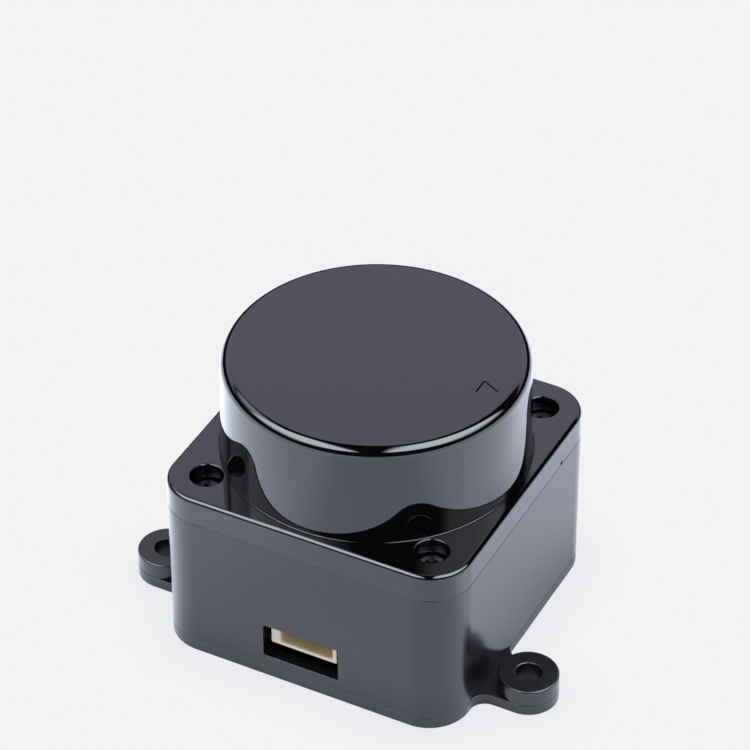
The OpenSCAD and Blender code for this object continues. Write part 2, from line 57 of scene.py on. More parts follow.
# Camera: stands off the front right corner, above the module
view = {"azimuth": 27.4, "elevation": 38.22, "roll": -0.12, "lens": 175.5,
        "place": (151.7, -293.0, 292.6)}


def aimCamera(look):
    azimuth, elevation, roll = (math.radians(look[k]) for k in ("azimuth", "elevation", "roll"))
    back = Vector((math.sin(azimuth) * math.cos(elevation),
                   -math.cos(azimuth) * math.cos(elevation), math.sin(elevation)))
    level = Vector((math.cos(azimuth), math.sin(azimuth), 0))
    above = back.cross(level)
    right = level * math.cos(roll) + above * math.sin(roll)
    up = above * math.cos(roll) - level * math.sin(roll)
    camera = bpy.data.objects.new("studioCamera", bpy.data.cameras.new("studioCamera"))
    camera.data.lens = look["lens"]
    camera.data.clip_start = 0.01
    turn = Matrix((right, up, back)).transposed().to_4x4()
    camera.matrix_world = Matrix.Translation(Vector(look["place"]) * mm) @ turn
    bpy.context.scene.collection.objects.link(camera)
    bpy.context.scene.camera = camera


aimCamera(view)


# An outline is (points, normals) in plan, counter-clockwise.
# A profile is rows of (inset, height), from the bottom up.


# Arcs joined by straight lines. Each arc is (centre x, centre y, radius, first angle, last angle)
# in degrees; one that runs clockwise is hollow. point = centre + radius * direction.
def chain(arcs, steps=16):
    points, normals = [], []
    for x, y, radius, first, last in arcs:
        angle = np.radians(np.linspace(first, last, steps + 1))
        direction = np.stack([np.cos(angle), np.sin(angle)], 1)
        way = 1 if last > first else -1
        along = way * np.stack([-direction[:, 1], direction[:, 0]], 1)
        arc = np.array([x, y]) + radius * direction
        points.append(np.vstack([arc[:1] - hold * along[:1], arc, arc[-1:] + hold * along[-1:]]))
        normals.append(way * np.vstack([direction[:1], direction, direction[-1:]]))
    return np.vstack(points), np.vstack(normals)


# point = centre + radius * (cos a, sin a), with the normal along the radius.
def circle(radius, x=0.0, y=0.0, steps=96):
    angle = np.linspace(0, 2 * np.pi, steps, endpoint=False)
    direction = np.stack([np.cos(angle), np.sin(angle)], 1)
    return np.array([x, y]) + radius * direction, direction


# Straight sides and four quarter circles of the radius given.
def softRectangle(halfX, halfY, radius, x=0.0, y=0.0, steps=16):
    flatX, flatY = halfX - radius, halfY - radius
    return chain([(x + signX * flatX, y + signY * flatY, radius, 90 * i, 90 * i + 90)
                  for i, (signX, signY) in enumerate(corners)], steps)


# Up the side of a slab whose two edges are quarter circles of the radii given.
def slabProfile(low, high, roundLow=0.0, roundHigh=0.0, steps=8):
    angle = np.linspace(0, np.pi / 2, steps + 1)
    rows = []
    if roundLow:
        rows += [[[roundLow + hold, low]],
                 np.stack([roundLow * (1 - np.sin(angle)), low + roundLow * (1 - np.cos(angle))], 1)]
    else:
        rows += [[[0, low]]]
    if roundHigh:
        rows += [np.stack([roundHigh * (1 - np.cos(angle)),
                           high - roundHigh * (1 - np.sin(angle))], 1),
                 [[roundHigh + hold, high]]]
    else:
        rows += [[[0, high]]]
    return np.vstack(rows)


# point(i, j) = outline point i - inset j * outline normal i, at height j. Uncapped, the profile
# closes on itself as a ring's section does.
def loft(outline, profile, capped=True):
    points, normals = outline
    profile = np.asarray(profile, float)
    count, levels = len(points), len(profile)
    grid = np.empty((levels, count, 3))
    grid[:, :, :2] = points[None] - profile[:, :1, None] * normals[None]
    grid[:, :, 2] = profile[:, 1:2]
    rows = np.arange(levels - 1 if capped else levels)[:, None]
    here = np.arange(count)[None]
    after, above = (here + 1) % count, (rows + 1) % levels
    faces = np.stack([rows * count + here, rows * count + after, above * count + after,
                      above * count + here], 2).reshape(-1, 4).tolist()
    if capped:
        faces += [list(range(count))[::-1], list(range((levels - 1) * count, levels * count))]
    return grid.reshape(-1, 3), faces


# Several (points, faces) as one.
def gather(shapes):
    points, faces, start = [], [], 0
    for shapePoints, shapeFaces in shapes:
        points.append(shapePoints)
        faces += [[index + start for index in face] for face in shapeFaces]
        start += len(shapePoints)
    return np.vstack(points), faces


# The shape turned about +Z by turn degrees, then moved.
def placed(shape, x=0.0, y=0.0, z=0.0, turn=0.0):
    points, faces = shape
    cosTurn, sinTurn = math.cos(math.radians(turn)), math.sin(math.radians(turn))
    spun = points @ np.array([[cosTurn, sinTurn, 0], [-sinTurn, cosTurn, 0], [0, 0, 1]])
    return spun + np.array([x, y, z]), faces


# Lays a slab down so that its height runs towards -Y and its plan's y runs up.
def towardsFront(shape):
    points, faces = shape
    return np.stack([points[:, 0], -points[:, 2], points[:, 1]], 1), faces


def makeObject(name, shape):
    mesh = bpy.data.meshes.new(name)
    mesh.from_pydata(shape[0].tolist(), [], shape[1])
    mesh.update()
    piece = bpy.data.objects.new(name, mesh)
    bpy.context.scene.collection.objects.link(piece)
    return piece


# Joins or cuts each shape with an exact boolean, and keeps the result as the mesh.
def carve(piece, shapes, operation="DIFFERENCE"):
    for shape in shapes:
        tool = makeObject("tool", shape)
        modifier = piece.modifiers.new("carve", "BOOLEAN")
        modifier.operation, modifier.solver, modifier.object = operation, "EXACT", tool
        bpy.context.view_layer.update()
        result = bpy.data.meshes.new_from_object(
            piece.evaluated_get(bpy.context.evaluated_depsgraph_get()))
        piece.modifiers.clear()
        used = piece.data
        piece.data = result
        bpy.data.meshes.remove(used)
        bpy.data.meshes.remove(tool.data)


# Takes a working piece's mesh away as (points, faces).
def takeShape(piece):
    mesh = piece.data
    points = np.empty(len(mesh.vertices) * 3, np.float32)
    mesh.vertices.foreach_get("co", points)
    faces = [list(face.vertices) for face in mesh.polygons]
    bpy.data.meshes.remove(mesh)
    return points.reshape(-1, 3).astype(float), faces


# Scales to metres, shades by angle, gives the piece its slot's material, hangs it under its body and
# hides the CAD nodes it stands in for.
def finishPiece(piece, body, slot, nodes, crease=28):
    mesh = piece.data
    mesh.transform(Matrix.Scale(mm, 4))
    mesh.polygons.foreach_set("use_smooth", np.ones(len(mesh.polygons), bool))
    mesh.set_sharp_from_angle(angle=math.radians(crease))
    mesh.name = piece.name
    normals = piece.modifiers.new("flatFacesStayFlat", "WEIGHTED_NORMAL")
    normals.keep_sharp = True
    normals.weight = 90
    mesh.materials.clear()
    mesh.materials.append(materials[slot])
    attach(piece, body)
    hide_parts(*nodes)
    print("  ", piece.name, len(mesh.polygons), "faces")


def newMaterial(name):
    material = bpy.data.materials.new(name)
    material.use_nodes = True
    return material, material.node_tree, material.node_tree.nodes["Principled BSDF"]


# A node with its own settings and its unjoined sockets set by name.
def addNode(tree, kind, **values):
    node = tree.nodes.new(kind)
    for key, value in values.items():
        if hasattr(node, key):
            setattr(node, key, value)
        else:
            node.inputs[key].default_value = value
    return node


def startGroup(name, inputs, outputs):
    tree = bpy.data.node_groups.new(name, "ShaderNodeTree")
    for label, kind, value in inputs:
        socket = tree.interface.new_socket(label, in_out="INPUT", socket_type=kind)
        socket.default_value = value
    for label, kind in outputs:
        tree.interface.new_socket(label, in_out="OUTPUT", socket_type=kind)
    return tree, tree.nodes.new("NodeGroupInput"), tree.nodes.new("NodeGroupOutput")


def joinUp(tree, *pairs):
    for source, target in pairs:
        tree.links.new(source, target)


# One maths node: a value that is a socket is joined, and any other is set.
def calculate(tree, operation, *values):
    node = addNode(tree, "ShaderNodeMath", operation=operation)
    for index, value in enumerate(values):
        if isinstance(value, bpy.types.NodeSocket):
            tree.links.new(value, node.inputs[index])
        else:
            node.inputs[index].default_value = value
    return node.outputs[0]


# 0 at low and 1 at high, with a smooth step between.
def fade(tree, source, low, high):
    node = addNode(tree, "ShaderNodeMapRange", interpolation_type="SMOOTHSTEP")
    tree.links.new(source, node.inputs["Value"])
    node.inputs["From Min"].default_value = min(low, high)
    node.inputs["From Max"].default_value = max(low, high)
    if low > high:
        node.inputs["To Min"].default_value, node.inputs["To Max"].default_value = 1.0, 0.0
    return node.outputs[0]


# The part of a vector that runs along an axis.
def along(tree, source, axis):
    node = addNode(tree, "ShaderNodeVectorMath", operation="DOT_PRODUCT")
    node.inputs[1].default_value = axis
    tree.links.new(source, node.inputs[0])
    return node.outputs["Value"]


# A mix of two colours, each a socket or a colour.
def choose(tree, factor, first, second):
    node = addNode(tree, "ShaderNodeMix", data_type="RGBA")
    tree.links.new(factor, node.inputs[0])
    for index, value in ((6, first), (7, second)):
        if isinstance(value, bpy.types.NodeSocket):
            tree.links.new(value, node.inputs[index])
        else:
            node.inputs[index].default_value = (*value, 1)
    return node.outputs[2]


def tinted(tree, tint, strength):
    node = addNode(tree, "ShaderNodeVectorMath", operation="SCALE")
    node.inputs[0].default_value = tint
    tree.links.new(strength, node.inputs["Scale"])
    return node.outputs["Vector"]


# Moulded plastic: fine grain for the bump, and wide soft clouds that shift the colour and the
# roughness, as handling and the mould's polish do.
def mouldedSkinGroup():
    tree, given, out = startGroup("mouldedSkin", [
        ("Colour", "NodeSocketColor", (0.04, 0.04, 0.045, 1)),
        ("Roughness", "NodeSocketFloat", 0.3),
        ("Grain Scale", "NodeSocketFloat", 9000.0), ("Cloud Scale", "NodeSocketFloat", 140.0),
        ("Cloud Amount", "NodeSocketFloat", 0.03)],
        [("Colour", "NodeSocketColor"), ("Roughness", "NodeSocketFloat"),
         ("Height", "NodeSocketFloat")])
    place = addNode(tree, "ShaderNodeTexCoord")
    grain = addNode(tree, "ShaderNodeTexNoise", Detail=3.0, Roughness=0.6)
    cloud = addNode(tree, "ShaderNodeTexNoise", Detail=2.0, Roughness=0.5)
    middle = addNode(tree, "ShaderNodeMath", operation="SUBTRACT")
    middle.inputs[1].default_value = 0.5
    scaled = addNode(tree, "ShaderNodeMath", operation="MULTIPLY")
    total = addNode(tree, "ShaderNodeMath", operation="ADD", use_clamp=True)
    lift = addNode(tree, "ShaderNodeMath", operation="MULTIPLY_ADD")
    lift.inputs[1].default_value, lift.inputs[2].default_value = 2.0, 1.0
    tint = addNode(tree, "ShaderNodeVectorMath", operation="SCALE")
    joinUp(tree, (place.outputs["Object"], grain.inputs["Vector"]),
           (place.outputs["Object"], cloud.inputs["Vector"]),
           (given.outputs["Grain Scale"], grain.inputs["Scale"]),
           (given.outputs["Cloud Scale"], cloud.inputs["Scale"]),
           (cloud.outputs["Fac"], middle.inputs[0]), (middle.outputs[0], scaled.inputs[0]),
           (given.outputs["Cloud Amount"], scaled.inputs[1]),
           (given.outputs["Roughness"], total.inputs[0]), (scaled.outputs[0], total.inputs[1]),
           (scaled.outputs[0], lift.inputs[0]), (given.outputs["Colour"], tint.inputs[0]),
           (lift.outputs[0], tint.inputs["Scale"]), (tint.outputs["Vector"], out.inputs["Colour"]),
           (total.outputs[0], out.inputs["Roughness"]),
           (grain.outputs["Fac"], out.inputs["Height"]))
    return tree


# Metal: streaks along one direction for drawn or turned marks, with soft stain clouds.
def workedMetalGroup():
    tree, given, out = startGroup("workedMetal", [
        ("Colour", "NodeSocketColor", (0.6, 0.6, 0.62, 1)), ("Roughness", "NodeSocketFloat", 0.3),
        ("Streak", "NodeSocketVector", (1.0, 1.0, 12.0)),
        ("Streak Scale", "NodeSocketFloat", 900.0),
        ("Spread", "NodeSocketFloat", 0.2)],
        [("Colour", "NodeSocketColor"), ("Roughness", "NodeSocketFloat"),
         ("Height", "NodeSocketFloat")])
    place = addNode(tree, "ShaderNodeTexCoord")
    stretch = addNode(tree, "ShaderNodeVectorMath", operation="MULTIPLY")
    streak = addNode(tree, "ShaderNodeTexNoise", Detail=4.0, Roughness=0.65)
    stain = addNode(tree, "ShaderNodeTexNoise", Scale=260.0, Detail=2.0)
    both = addNode(tree, "ShaderNodeMath", operation="ADD")
    middle = addNode(tree, "ShaderNodeMath", operation="SUBTRACT")
    middle.inputs[1].default_value = 1.0
    change = addNode(tree, "ShaderNodeMath", operation="MULTIPLY")
    rough = addNode(tree, "ShaderNodeMath", operation="ADD", use_clamp=True)
    shade = addNode(tree, "ShaderNodeMath", operation="MULTIPLY_ADD")
    shade.inputs[1].default_value, shade.inputs[2].default_value = -0.8, 1.0
    tint = addNode(tree, "ShaderNodeVectorMath", operation="SCALE")
    joinUp(tree, (place.outputs["Object"], stretch.inputs[0]),
           (given.outputs["Streak"], stretch.inputs[1]),
           (stretch.outputs["Vector"], streak.inputs["Vector"]),
           (given.outputs["Streak Scale"], streak.inputs["Scale"]),
           (place.outputs["Object"], stain.inputs["Vector"]),
           (streak.outputs["Fac"], both.inputs[0]), (stain.outputs["Fac"], both.inputs[1]),
           (both.outputs[0], middle.inputs[0]), (middle.outputs[0], change.inputs[0]),
           (given.outputs["Spread"], change.inputs[1]),
           (given.outputs["Roughness"], rough.inputs[0]), (change.outputs[0], rough.inputs[1]),
           (change.outputs[0], shade.inputs[0]), (given.outputs["Colour"], tint.inputs[0]),
           (shade.outputs[0], tint.inputs["Scale"]), (tint.outputs["Vector"], out.inputs["Colour"]),
           (rough.outputs[0], out.inputs["Roughness"]),
           (streak.outputs["Fac"], out.inputs["Height"]))
    return tree


mouldedSkin = mouldedSkinGroup()
workedMetal = workedMetalGroup()
reliefDepth = 0.00001  # metres, the height of a grain or a streak


# A material whose colour, roughness and bump come from one of the shared groups.
def skinned(name, group, colour, settings, bump):
    material, tree, shader = newMaterial(name)
    skin = addNode(tree, "ShaderNodeGroup", node_tree=group)
    skin.inputs["Colour"].default_value = (*colour, 1)
    for label, value in settings.items():
        skin.inputs[label].default_value = value
    relief = addNode(tree, "ShaderNodeBump", Strength=bump, Distance=reliefDepth)
    joinUp(tree, (skin.outputs["Colour"], shader.inputs["Base Color"]),
           (skin.outputs["Roughness"], shader.inputs["Roughness"]),
           (skin.outputs["Height"], relief.inputs["Height"]),
           (relief.outputs["Normal"], shader.inputs["Normal"]))
    return material, shader


def plastic(name, look):
    material, shader = skinned(name, mouldedSkin, look["colour"], {
        "Roughness": look["roughness"], "Grain Scale": look.get("grain", 9000.0),
        "Cloud Amount": look.get("clouds", 0.04)}, look.get("bump", 0.1))
    shader.inputs["IOR"].default_value = look.get("ior", 1.5)
    return material


def metal(name, look):
    material, shader = skinned(name, workedMetal, look["colour"], {
        "Roughness": look["roughness"], "Streak": look.get("streak", (1.0, 1.0, 12.0)),
        "Spread": look.get("spread", 0.2)}, look.get("bump", 0.15))
    shader.inputs["Metallic"].default_value = 1.0
    return material


# Polished clear plastic or glass with a faint coating tint that varies a little.
def clearPart(name, look):
    material, tree, shader = newMaterial(name)
    skin = addNode(tree, "ShaderNodeGroup", node_tree=mouldedSkin)
    skin.inputs["Colour"].default_value = (*look["colour"], 1)
    skin.inputs["Roughness"].default_value = look["roughness"]
    skin.inputs["Cloud Amount"].default_value = 0.01
    joinUp(tree, (skin.outputs["Colour"], shader.inputs["Base Color"]),
           (skin.outputs["Roughness"], shader.inputs["Roughness"]))
    shader.inputs["Transmission Weight"].default_value = look["clear"]
    shader.inputs["IOR"].default_value = 1.52
    return material


# Solder mask over glass weave, with copper tracks that show as slightly raised lines.
def circuitBoard(name, look):
    material, tree, shader = newMaterial(name)
    place = addNode(tree, "ShaderNodeTexCoord")
    tracks = addNode(tree, "ShaderNodeTexBrick", Scale=look["trackScale"], offset=0.37)
    tracks.inputs["Mortar Size"].default_value = 0.03
    tracks.inputs["Color1"].default_value = (*look["mask"], 1)
    tracks.inputs["Color2"].default_value = (*look["maskOverCopper"], 1)
    tracks.inputs["Mortar"].default_value = (*look["gap"], 1)
    weave = addNode(tree, "ShaderNodeTexWave", Scale=2600.0, Distortion=1.0)
    skin = addNode(tree, "ShaderNodeGroup", node_tree=mouldedSkin)
    skin.inputs["Roughness"].default_value = 0.35
    relief = addNode(tree, "ShaderNodeBump", Strength=0.25, Distance=2 * reliefDepth)
    height = addNode(tree, "ShaderNodeMath", operation="MULTIPLY_ADD")
    height.inputs[1].default_value = 0.3
    joinUp(tree, (place.outputs["Object"], tracks.inputs["Vector"]),
           (place.outputs["Object"], weave.inputs["Vector"]),
           (tracks.outputs["Color"], skin.inputs["Colour"]),
           (skin.outputs["Colour"], shader.inputs["Base Color"]),
           (skin.outputs["Roughness"], shader.inputs["Roughness"]),
           (weave.outputs["Fac"], height.inputs[0]), (tracks.outputs["Fac"], height.inputs[2]),
           (height.outputs[0], relief.inputs["Height"]),
           (relief.outputs["Normal"], shader.inputs["Normal"]))
    return material


# Pale nylon with painted shade inside the socket's mouth, where light is lost between its walls:
# the colour darkens towards the painted shade colour, full strength where x, y and z all lie inside
# the hollow.
def nylonWithPaintedShade(name, look):
    material, shader = skinned(name, mouldedSkin, look["colour"], {
        "Roughness": look["roughness"], "Cloud Amount": 0.04}, look["bump"])
    tree = material.node_tree
    place = addNode(tree, "ShaderNodeTexCoord").outputs["Object"]
    inside = None
    for axis, spans in zip(((1, 0, 0), (0, 1, 0), (0, 0, 1)), look["hollow"]):
        for low, high in spans:
            edge = fade(tree, along(tree, place, axis), low * mm, high * mm)
            inside = edge if inside is None else calculate(tree, "MULTIPLY", inside, edge)
    skin = shader.inputs["Base Color"].links[0].from_node
    # painted shade: the nylon's colour is mixed towards the painted shade colour by the mask
    joinUp(tree, (choose(tree, inside, look["colour"], look["paintedShadeColour"]), skin.inputs["Colour"]))
    return material


# Each slot's kind of material and its values
finishes = {
    "base_plastic": (plastic, {"colour": (0.006, 0.006, 0.007), "roughness": 0.28, "bump": 0.12}),
    "housing_plastic": (plastic, {"colour": (0.006, 0.006, 0.007), "roughness": 0.22, "bump": 0.08,
                                  "ior": 1.46}),
    "cover_plastic": (plastic, {"colour": (0.004, 0.004, 0.0045), "roughness": 0.025,
                                "bump": 0.004, "clouds": 0.015}),
    "dome_plastic": (plastic, {"colour": (0.004, 0.004, 0.0045), "roughness": 0.02, "bump": 0.003,
                               "clouds": 0.012}),
    "gasket_rubber": (plastic, {"colour": (0.02, 0.02, 0.02), "roughness": 0.75, "bump": 0.4}),
    "chip_resin": (plastic, {"colour": (0.02, 0.02, 0.021), "roughness": 0.5, "bump": 0.5}),
    "ceramic": (plastic, {"colour": (0.4, 0.28, 0.18), "roughness": 0.45, "clouds": 0.12}),
    # ivory nylon with painted shade inside the socket's mouth
    "ivory_nylon": (nylonWithPaintedShade, {"colour": (0.8, 0.75, 0.6), "paintedShadeColour": (0.66, 0.56, 0.33),
                                     "roughness": 0.4, "bump": 0.1,
                                     "hollow": (((-3.5, -3.3), (4.0, 3.85)), ((-18.39, -17.9),),
                                                ((4.75, 4.9), (7.35, 7.2)))}),
    "ferrite": (plastic, {"colour": (0.05, 0.05, 0.055), "roughness": 0.6, "bump": 0.6,
                          "grain": 4000.0}),
    "rotor_plastic": (plastic, {"colour": (0.04, 0.04, 0.044), "roughness": 0.45, "bump": 0.3,
                                "grain": 6000.0}),
    "black_screw_steel": (metal, {"colour": (0.09, 0.09, 0.1), "roughness": 0.32}),
    "bright_screw_steel": (metal, {"colour": (0.6, 0.6, 0.62), "roughness": 0.25}),
    "gold_contact": (metal, {"colour": (0.85, 0.63, 0.28), "roughness": 0.2}),
    "mount_metal": (metal, {"colour": (0.66, 0.67, 0.69), "roughness": 0.3,
                            "streak": (0.3, 0.3, 30.0)}),
    "core_steel": (metal, {"colour": (0.33, 0.34, 0.36), "roughness": 0.4,
                           "streak": (0.2, 0.2, 60.0), "bump": 0.6}),
    "winding_copper": (metal, {"colour": (0.7, 0.28, 0.1), "roughness": 0.24}),
    "bearing_steel": (metal, {"colour": (0.74, 0.75, 0.77), "roughness": 0.1, "spread": 0.06}),
    "cage_brass": (metal, {"colour": (0.66, 0.48, 0.2), "roughness": 0.28}),
    "shaft_steel": (metal, {"colour": (0.6, 0.61, 0.63), "roughness": 0.18,
                            "streak": (0.5, 0.5, 40.0)}),
    "bell_steel": (metal, {"colour": (0.46, 0.47, 0.49), "roughness": 0.3,
                           "streak": (0.5, 0.5, 30.0)}),
    "magnet": (metal, {"colour": (0.42, 0.42, 0.43), "roughness": 0.22}),
    "can_steel": (metal, {"colour": (0.68, 0.69, 0.7), "roughness": 0.22,
                          "streak": (1.0, 14.0, 1.0)}),
    "weight_brass": (metal, {"colour": (0.7, 0.53, 0.24), "roughness": 0.26,
                             "streak": (0.5, 0.5, 30.0)}),
    "optical_plastic": (clearPart, {"colour": (0.93, 0.96, 0.99), "roughness": 0.03,
                                    "clear": 0.95}),
    "filter_glass": (clearPart, {"colour": (0.35, 0.04, 0.06), "roughness": 0.04, "clear": 0.8}),
    "circuit_board": (circuitBoard, {"trackScale": 420.0, "mask": (0.012, 0.014, 0.013),
                                     "maskOverCopper": (0.03, 0.032, 0.028),
                                     "gap": (0.008, 0.009, 0.009)}),
}
materials = {slot: make(slot, look) for slot, (make, look) in finishes.items()}
for subpart in frame["record"]["subparts"]:
    node = frame["nodes"][subpart["node"]]
    for place in node.material_slots:
        place.material = materials[subpart["material_slot"]]
print("materials made:", len(materials))


# Sizes that several pieces share, read from the frame
housingLow, housingHigh = (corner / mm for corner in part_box("housing"))
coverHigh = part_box("top_cover")[1] / mm
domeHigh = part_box("dome")[1] / mm
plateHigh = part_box("base_plate")[1] / mm
half = housingHigh.x
plateTop, seam, coverTop, domeTop = housingLow.z, housingHigh.z, coverHigh.z, domeHigh.z
earTip = Vector((plateHigh.x, plateHigh.y))
body = {"cornerRadius": 5.2, "screwInset": 4.8}
screwAt = half - body["screwInset"]


def bodyOutline(inset=0.0, steps=20):
    return softRectangle(half - inset, half - inset, body["cornerRadius"] - inset, steps=steps)


def atCorners(shape):
    return [placed(shape, signX * screwAt, signY * screwAt) for signX, signY in corners]


# Rows that open a cutter by a quarter circle of radius rim, up to height high.
def flareRows(rim, high, steps):
    angle = np.linspace(0, np.pi / 2, steps + 1)
    return np.stack([rim * (np.cos(angle) - 1), high - rim * (1 - np.sin(angle))], 1)


# A round cutter whose mouth at height high opens by a quarter circle of radius rim.
def flaredCutter(radius, low, high, rim, steps=6):
    return loft(circle(radius), np.vstack([[[0, low]], flareRows(rim, high, steps),
                                           [[-rim - hold, high], [-rim - hold, high + past]]]))


dome = {"footRadius": 18.25, "topRadius": 17.9, "wall": 1.2, "foot": 20.9, "edge": 1.15,
        "lip": 0.085, "flangeLow": 19.9, "flangeHigh": 21.0, "flangeHalf": 18.35,
        "flangeCorner": 4.35, "flangeEdge": 0.1, "bossHole": 3.0, "arrowTip": 15.5,
        "arrowLength": 2.25, "arrowDepth": 0.2, "arrowRound": 0.06, "arrowRim": 0.03,
        "steps": 256}


# Wall line and rounding: r = centre + edge * cos a, z = centre + edge * sin a, with a from the
# wall's own slope to straight up. A small round lip stands where it leaves the cover.
def makeDome(size):
    slope = math.atan2(size["footRadius"] - size["topRadius"], domeTop - size["foot"])
    lip = size["lip"]
    bend = np.linspace(0, np.pi / 2, 6)
    leaving = size["footRadius"] - math.tan(slope) * (coverTop - size["foot"])
    lipRadius = leaving + lip * np.cos(bend)
    lipHeight = coverTop - lap + lip * np.sin(bend)
    angle = np.linspace(slope, np.pi / 2, 15)
    edgeRadius = size["topRadius"] - size["edge"] + size["edge"] * np.cos(angle)
    edgeHeight = domeTop - size["edge"] + size["edge"] * np.sin(angle)
    inside = size["topRadius"] - size["wall"]
    ceiling = domeTop - size["wall"]
    # the ceiling meets the wall in two short slopes
    radius = np.concatenate([[inside - 0.5, inside - 0.15, inside, inside, lipRadius[0]],
                             lipRadius, edgeRadius, [edgeRadius[-1] - hold]])
    height = np.concatenate([[ceiling, ceiling - 0.05, ceiling - 0.3, size["foot"], size["foot"]],
                             lipHeight, edgeHeight, [domeTop]])
    cap = loft(circle(size["footRadius"], steps=size["steps"]),
               np.stack([size["footRadius"] - radius, height], 1))
    piece = makeObject("gloss_dome", cap)
    flange = loft(softRectangle(size["flangeHalf"], size["flangeHalf"], size["flangeCorner"]),
                  slabProfile(size["flangeLow"], size["flangeHigh"], size["flangeEdge"],
                              size["flangeEdge"], 3))
    collar = makeObject("collar", flange)
    through = slabProfile(size["flangeLow"] - past, size["flangeHigh"] + past)
    carve(collar, [loft(circle(inside, steps=size["steps"]), through)]
          + atCorners(loft(circle(size["bossHole"]), through)))
    carve(piece, [takeShape(collar)], "UNION")
    side = size["arrowLength"]
    arrow = chain([(size["arrowTip"] - x, y, size["arrowRound"], angle - 60, angle + 60)
                   for x, y, angle in ((0, 0, 0), (side, side / 2, 120),
                                       (side, -side / 2, 240))], 4)
    bottom, rim = domeTop - size["arrowDepth"], size["arrowRim"]
    carve(piece, [loft(arrow, [[rim, bottom], [0, bottom + rim], [0, domeTop - lap],
                               [-rim, domeTop], [-rim, domeTop + past]])])
    finishPiece(piece, "module_body", "dome_plastic", ["dome"])


makeDome(dome)


cover = {"edge": 0.5, "wall": 0.85, "plate": 2.0, "opening": 18.35, "openingRim": 0.04,
         "counterbore": 1.95, "counterboreRim": 0.16, "seat": 19.7, "bossRadius": 2.9,
         "bossEdge": 0.15, "bossLow": 18.3, "screwHole": 1.1, "seamRound": 0.09,
         "notchAt": 9.8, "notch": 0.5, "notchDepth": 0.6, "notchCorner": 0.1}


# A rounded block hollowed from below, with bosses, the round opening and the screw holes.
def makeCover(size):
    sides = slabProfile(seam, coverTop, size["seamRound"], size["edge"], 12)
    piece = makeObject("top_shell", loft(bodyOutline(), sides))
    carve(piece, [loft(bodyOutline(size["wall"]),
                       slabProfile(seam - past, coverTop - size["plate"]))])
    insidePlate = coverTop - size["plate"] / 2
    boss = loft(circle(size["bossRadius"]),
                slabProfile(size["bossLow"], insidePlate, size["bossEdge"]))
    carve(piece, atCorners(boss), "UNION")
    below = size["bossLow"] - past
    cuts = [flaredCutter(size["opening"], below, coverTop, size["openingRim"])]
    cuts += atCorners(flaredCutter(size["counterbore"], size["seat"], coverTop,
                                   size["counterboreRim"]))
    cuts += atCorners(loft(circle(size["screwHole"]), slabProfile(below, insidePlate)))
    notch = loft(softRectangle(size["notchDepth"], size["notch"] / 2, size["notchCorner"], steps=4),
                 slabProfile(seam - past, seam + size["notch"]))
    cuts += [placed(notch, half, size["notchAt"])]
    carve(piece, cuts)
    finishPiece(piece, "module_body", "cover_plastic", ["top_cover"])


makeCover(cover)


shell = {"wall": 1.6, "edge": 0.08, "innerEdge": 0.1, "post": 2.8, "postTop": 18.3,
         "postEdge": 0.15, "postRoom": 0.2, "webCorner": 0.2, "screwHole": 1.0, "slotHalf": 4.9,
         "slotLow": 3.0, "slotHigh": 7.6, "slotCorner": 0.3, "slotRim": 0.06, "slotRun": 0.4}


# A square ring section carried round the rounded square, with posts and the socket's slot.
def makeHousing(size):
    wall, bevel = size["wall"], size["innerEdge"]
    outside = slabProfile(plateTop, seam, size["edge"], size["edge"])
    section = np.vstack([outside, [[wall - bevel, seam], [wall, seam - bevel],
                                   [wall, plateTop + bevel], [wall - bevel, plateTop]]])
    piece = makeObject("main_shell", loft(bodyOutline(), section, capped=False))
    low, high = plateTop + lap, size["postTop"]
    reach = (half - screwAt - wall / 2) / 2
    posts = atCorners(loft(circle(size["post"]), slabProfile(low, high, 0, size["postEdge"])))
    web = loft(softRectangle(reach, reach, size["webCorner"], steps=4),
               slabProfile(low, high - size["postEdge"]))
    trimmed = loft(bodyOutline(wall / 2), slabProfile(low, high))
    for post, (signX, signY) in zip(posts, corners):
        support = makeObject("support", post)
        carve(support, [placed(web, signX * (screwAt + reach), signY * (screwAt + reach))], "UNION")
        carve(support, [trimmed], "INTERSECT")
        carve(piece, [takeShape(support)], "UNION")
    slot = softRectangle(size["slotHalf"], (size["slotHigh"] - size["slotLow"]) / 2,
                         size["slotCorner"], 0, (size["slotHigh"] + size["slotLow"]) / 2, 6)
    flare = flareRows(size["slotRim"], half, 5)
    cuts = [towardsFront(loft(slot, np.vstack([[[0, half - wall - size["slotRun"]]], flare,
                                               [[-size["slotRim"], half + past]]])))]
    cuts += atCorners(loft(circle(size["screwHole"]), slabProfile(plateTop - past, high + past)))
    cuts += atCorners(loft(circle(size["post"] + size["postRoom"]), slabProfile(high, seam + past)))
    carve(piece, cuts)
    finishPiece(piece, "module_body", "housing_plastic", ["housing"])


makeHousing(shell)


plate = {"edge": 0.06, "ear": 3.6, "neckRound": 2.0, "earForward": 8.3, "bossTop": 3.5,
         "bossRound": 0.22, "bossInset": 0.015, "line": 0.07, "hole": 1.5, "holeRim": 0.18,
         "screwHole": 1.1, "headHole": 2.0, "headDepth": 1.0, "standoff": 1.9,
         "standoffTop": 3.6, "standoffAt": (9.0, 15.2), "standoffHole": 0.8,
         "standoffEdge": 0.15, "root": 0.5}


# A neck with hollow roundings on both sides and a round end, on the side that faces turn.
def earArcs(size, reach, sideways, turn):
    ear, neck = size["ear"], size["neckRound"]
    arcs = [(half + neck, sideways - ear - neck, neck, 180, 90), (reach, sideways, ear, -90, 90),
            (half + neck, sideways + ear + neck, neck, 270, 180)]
    cosTurn, sinTurn = math.cos(math.radians(turn)), math.sin(math.radians(turn))
    return [(cosTurn * x - sinTurn * y, sinTurn * x + cosTurn * y, radius, first + turn,
             last + turn) for x, y, radius, first, last in arcs]


